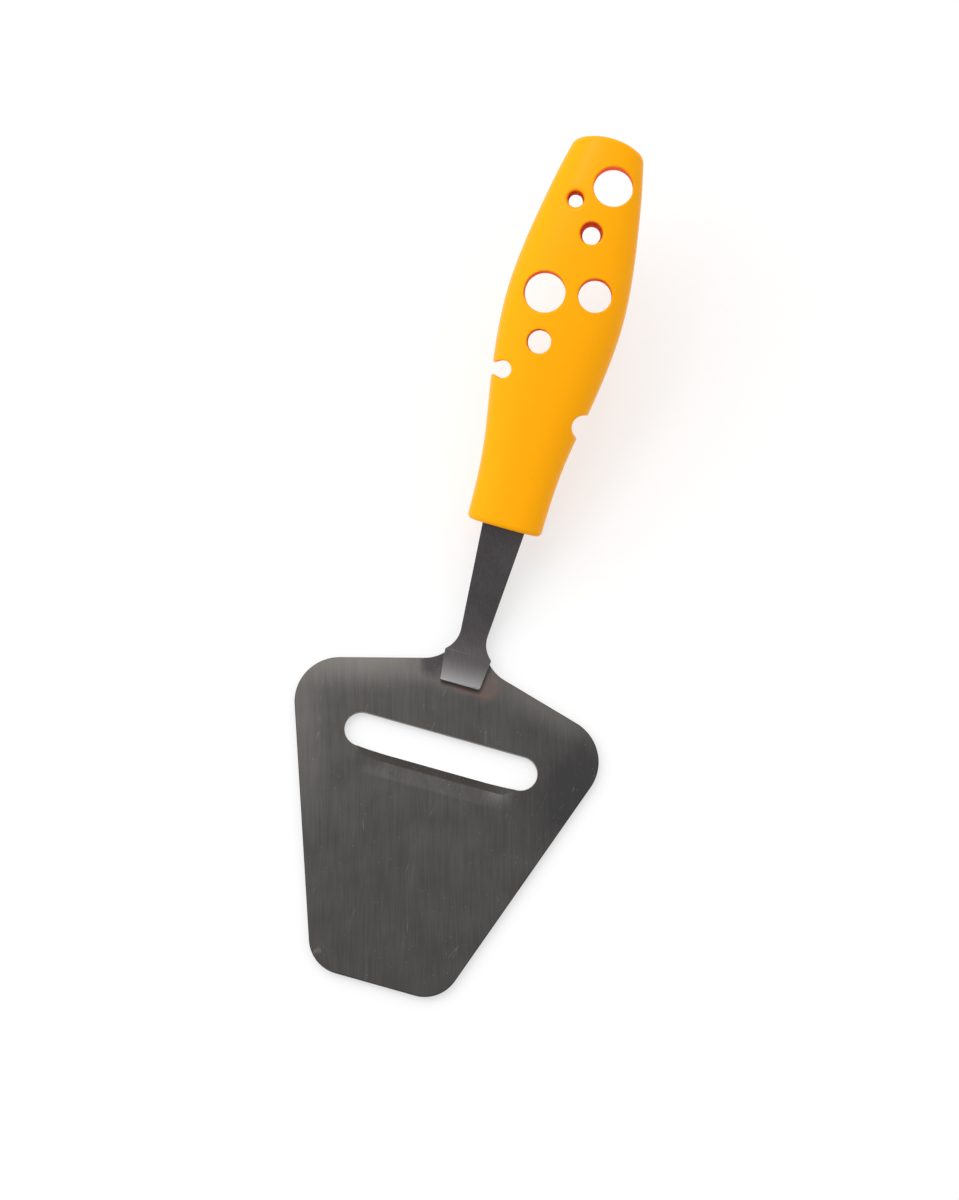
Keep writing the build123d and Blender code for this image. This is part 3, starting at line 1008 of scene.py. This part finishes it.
def make_handle_plastic():
    """Opaque orange-yellow plastic with the mould's fine grain, and painted light: redder down the walls of
    its holes, standing in for light that passes through the plastic and bounces between the walls.
    """
    material, tree, shader = new_material("grained_handle_plastic", {
        "Metallic": 0.0, "IOR": 1.5, "Specular IOR Level": 0.08,
    })
    place = add_node(tree, "ShaderNodeTexCoord").outputs["Object"]
    clouds = add_node(tree, "ShaderNodeTexNoise", {"Vector": place, "Scale": cloud_scale, "Detail": 2})
    pits = add_node(tree, "ShaderNodeTexNoise", {"Vector": place, "Scale": pit_scale, "Detail": 2})
    depth = add_node(tree, "ShaderNodeAttribute", attribute_name="wall_depth").outputs["Fac"]
    wall = calculate(tree, "MULTIPLY", depth, wall_fade, clamp=True)
    # painted light in the holes: the walls are coloured redder
    colour = mix_colour(tree, calculate(tree, "MULTIPLY", wall, painted_wall_light_share), plastic_colour, painted_wall_light_colour)
    tree.links.new(colour, shader.inputs["Base Color"])
    roughness = calculate(
        tree, "MULTIPLY_ADD", clouds.outputs["Fac"], plastic_cloud_roughness, plastic_least_roughness
    )
    roughness = calculate(tree, "MULTIPLY_ADD", wall, wall_roughness, roughness)
    tree.links.new(roughness, shader.inputs["Roughness"])
    bump = add_node(tree, "ShaderNodeBump", {
        "Height": pits.outputs["Fac"], "Strength": 0.35, "Distance": 0.00004,
    })
    tree.links.new(bump.outputs[0], shader.inputs["Normal"])
    return material


handle = place_piece("handle_moulding", make_handle_mesh(), make_handle_plastic())
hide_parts("handle")
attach(handle, "root")


# Floor, lights and camera: a plain white table under a soft sky that is white round the horizon and dimmer
# overhead, most so towards the tip. One wide fill stands on the left and one higher up, a soft box by the
# butt makes highlights alone, and the camera looks down as the photograph does.
floor_half_size = 3.0
floor_white = 0.95
shadow_keep = 0.45
sky_level = 0.85
sky_slope = 0.45
sky_slope_across = -0.6
sky_slope_along = 0.8
horizon_height = 0.35
focus = Vector((0, rear_line, 0))
camera_tilt = radians(13.36)
camera_side = radians(-0.728)
camera_roll = radians(15.619)
camera_distance = 0.8
camera_lens = 86.4
camera_sensor = 36.0
image_width, image_height = 959, 1200
focus_pixel = Vector((465.381, 665.088))


def make_floor():
    """White floor that looks evenly lit to the eye and in reflections, but keeps part of its shadow."""
    mesh = bmesh.new()
    bmesh.ops.create_grid(mesh, x_segments=2, y_segments=2, size=floor_half_size)
    bmesh.ops.translate(mesh, verts=mesh.verts, vec=(0, rear_line, -lip_drop))
    plane = bpy.data.meshes.new("floor")
    mesh.to_mesh(plane)
    mesh.free()
    material, tree, shader = new_material("white_floor", {"Roughness": 1.0, "Specular IOR Level": 0.0})
    shader.inputs["Base Color"].default_value = (floor_white, floor_white, floor_white, 1)
    rays = add_node(tree, "ShaderNodeLightPath").outputs
    seen = calculate(tree, "ADD", rays["Is Camera Ray"], rays["Is Glossy Ray"])
    seen = calculate(tree, "ADD", seen, rays["Is Transmission Ray"], clamp=True)
    glow = add_node(tree, "ShaderNodeEmission", {"Color": (1, 1, 1, 1), "Strength": 1.0})
    share = calculate(tree, "MULTIPLY", seen, 1 - shadow_keep)
    both = add_node(tree, "ShaderNodeMixShader", {0: share, 1: shader.outputs[0], 2: glow.outputs[0]})
    tree.links.new(both.outputs[0], tree.nodes["Material Output"].inputs["Surface"])
    return place_piece("floor", plane, material)


def light_sky():
    """Sky that is white at the horizon, and above it brighter over the handle's left than over the tip."""
    world = bpy.data.worlds.new("soft_sky")
    world.use_nodes = True
    tree = world.node_tree
    direction = add_node(tree, "ShaderNodeTexCoord").outputs["Generated"]
    axes = add_node(tree, "ShaderNodeSeparateXYZ", {0: direction}).outputs
    level = calculate(tree, "MULTIPLY_ADD", axes["X"], sky_slope * sky_slope_across, sky_level)
    level = calculate(tree, "MULTIPLY_ADD", axes["Y"], sky_slope * sky_slope_along, level)
    low = add_node(tree, "ShaderNodeMapRange", {
        "Value": axes["Z"], "From Max": horizon_height, "To Min": 1, "To Max": 0,
    }, interpolation_type="SMOOTHSTEP").outputs["Result"]
    level = add_node(tree, "ShaderNodeMix", {0: low, 2: level, 3: 1.0}).outputs[0]
    background = tree.nodes["Background"]
    background.inputs["Color"].default_value = (1, 1, 1, 1)
    tree.links.new(level, background.inputs["Strength"])
    bpy.context.scene.world = world


def add_lamp(name, radiance, size, lean, tilt, distance):
    """Square soft lamp that faces the handle, leaning to its left and tilted towards its butt."""
    lamp = bpy.data.lights.new(name, "AREA")
    lamp.size = size
    lamp.energy = radiance * pi * size ** 2
    box = bpy.data.objects.new(name, lamp)
    turn = Matrix.Rotation(-tilt, 4, "X") @ Matrix.Rotation(-lean, 4, "Y")
    target = handle_frame() @ Vector((0, handle_length, 0))
    box.matrix_world = Matrix.Translation(target) @ turn @ Matrix.Translation((0, 0, distance))
    bpy.context.scene.collection.objects.link(box)
    return box


def place_camera():
    """Camera that looks down at the tool as the photograph does."""
    camera = bpy.data.objects.new("camera", bpy.data.cameras.new("camera"))
    bpy.context.scene.collection.objects.link(camera)
    tilt_cos, tilt_sin = cos(camera_tilt), sin(camera_tilt)
    side_cos, side_sin = cos(camera_side), sin(camera_side)
    level = Vector((side_cos, -side_sin * tilt_sin, side_sin * tilt_cos))
    ahead = Vector((0, tilt_cos, tilt_sin))
    right = level * cos(camera_roll) + ahead * sin(camera_roll)
    up = ahead * cos(camera_roll) - level * sin(camera_roll)
    back = Vector((-side_sin, -side_cos * tilt_sin, side_cos * tilt_cos))
    scale = camera_distance * camera_sensor / camera_lens / image_height
    across = (focus_pixel.x - image_width / 2) * scale
    down = (focus_pixel.y - image_height / 2) * scale
    place = focus - right * across + up * down + back * camera_distance
    camera.matrix_world = Matrix.Translation(place) @ Matrix((right, up, back)).transposed().to_4x4()
    camera.data.lens = camera_lens
    camera.data.sensor_width = camera_sensor
    bpy.context.scene.camera = camera


make_floor()
light_sky()
fill = add_lamp("wide_fill", radiance=1.8, size=0.6, lean=radians(45), tilt=radians(-10), distance=0.9)
fill.visible_glossy = False
high_fill = add_lamp("high_fill", radiance=1.8, size=0.5, lean=radians(15), tilt=radians(11), distance=0.9)
high_fill.visible_glossy = False
highlight = add_lamp("soft_box", radiance=9.0, size=0.2, lean=radians(24), tilt=radians(11), distance=0.6)
highlight.visible_diffuse = False
place_camera()
bpy.context.scene.view_settings.view_transform = "Standard"
